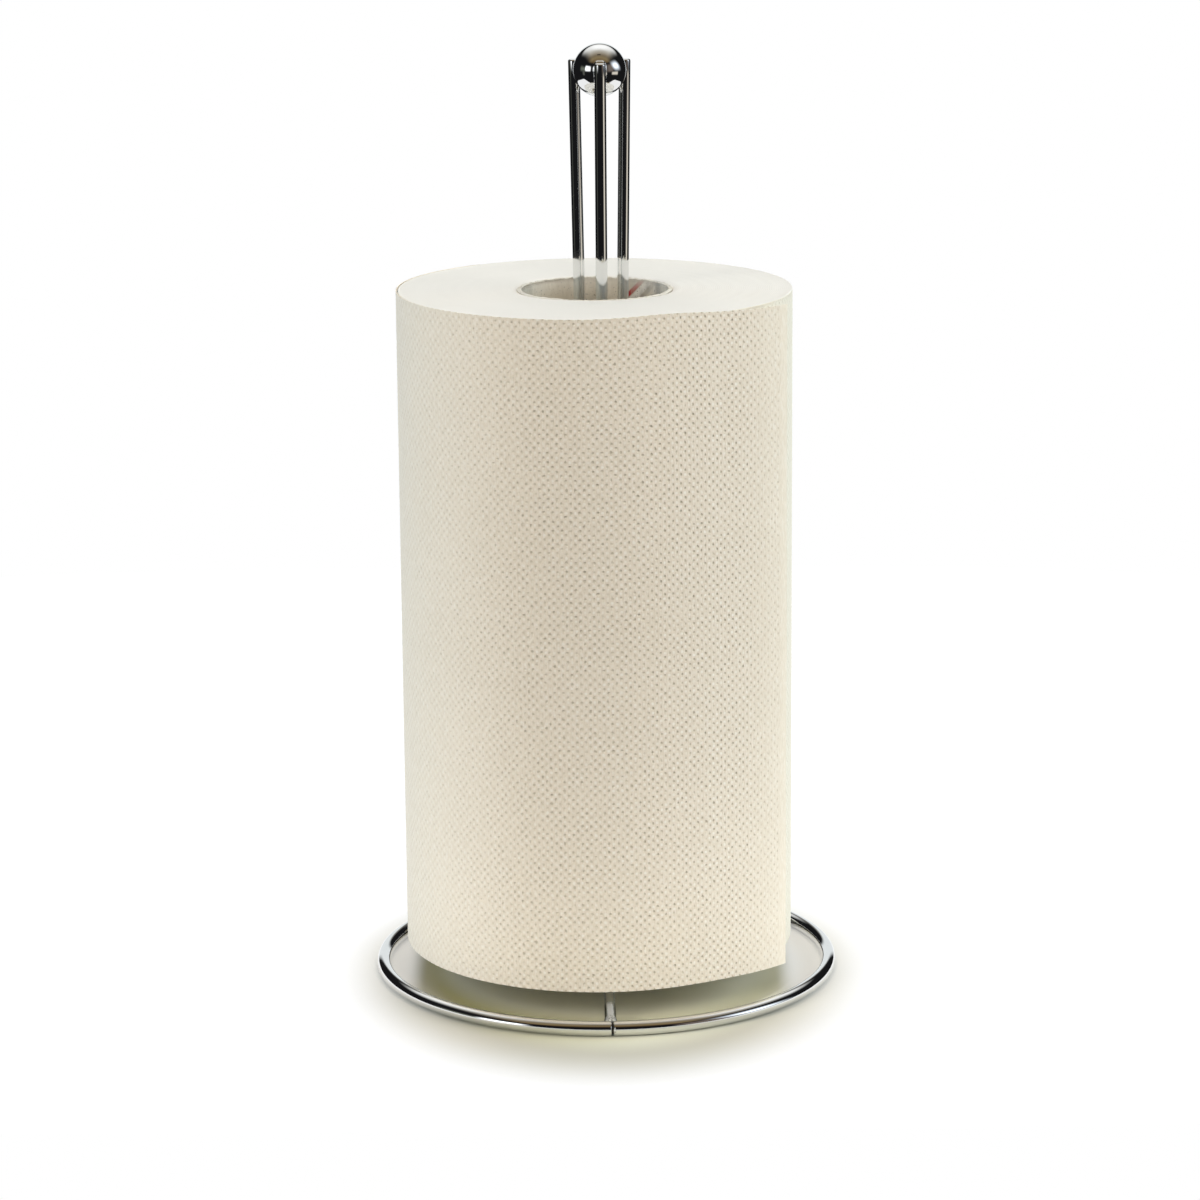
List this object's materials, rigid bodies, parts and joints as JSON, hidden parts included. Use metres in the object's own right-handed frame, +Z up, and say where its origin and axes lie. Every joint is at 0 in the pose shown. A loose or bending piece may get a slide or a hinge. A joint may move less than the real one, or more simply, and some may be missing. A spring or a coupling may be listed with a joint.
{
  "type": "paper towel holder",
  "caption": "Free-standing kitchen roll holder: chromed wire ring base and a post of bent rods under a ball, with a paper roll that turns on the post and lifts off.",
  "frame": {"origin": "on the table, at the centre of the base ring", "axes": "+Z up along the post, -Y towards the front spoke and the ring's seam, +X to the right of the front"},
  "size_m": [0.155, 0.155, 0.31],
  "materials": {
    "chrome_wire": "polished",
    "weld_metal": "satin",
    "core_cardboard": "matte",
    "towel_paper": "matte"
  },
  "bodies": {
    "holder": {"base_ring": "chrome_wire", "ring_seam_weld": "weld_metal", "front_rod": "chrome_wire", "left_rod": "chrome_wire", "right_rod": "chrome_wire", "front_spoke_weld": "weld_metal", "left_spoke_weld": "weld_metal", "right_spoke_weld": "weld_metal", "finial_ball": "chrome_wire", "front_ball_weld": "weld_metal", "left_ball_weld": "weld_metal", "right_ball_weld": "weld_metal"},
    "core": {"cardboard_core": "core_cardboard"},
    "paper": {"paper_roll": "towel_paper", "outer_sheet": "towel_paper"}
  },
  "joints": [
    {"name": "roll_lift", "type": "slide", "parent": "holder", "child": "core", "axis": [0, 0, 1], "range_m": [0, 0.31]},
    {"name": "roll_spin", "type": "hinge", "parent": "core", "child": "paper", "pos_m": [-0.0021, 0, 0.1209], "axis": [0, 0, 1], "continuous": true}
  ]
}
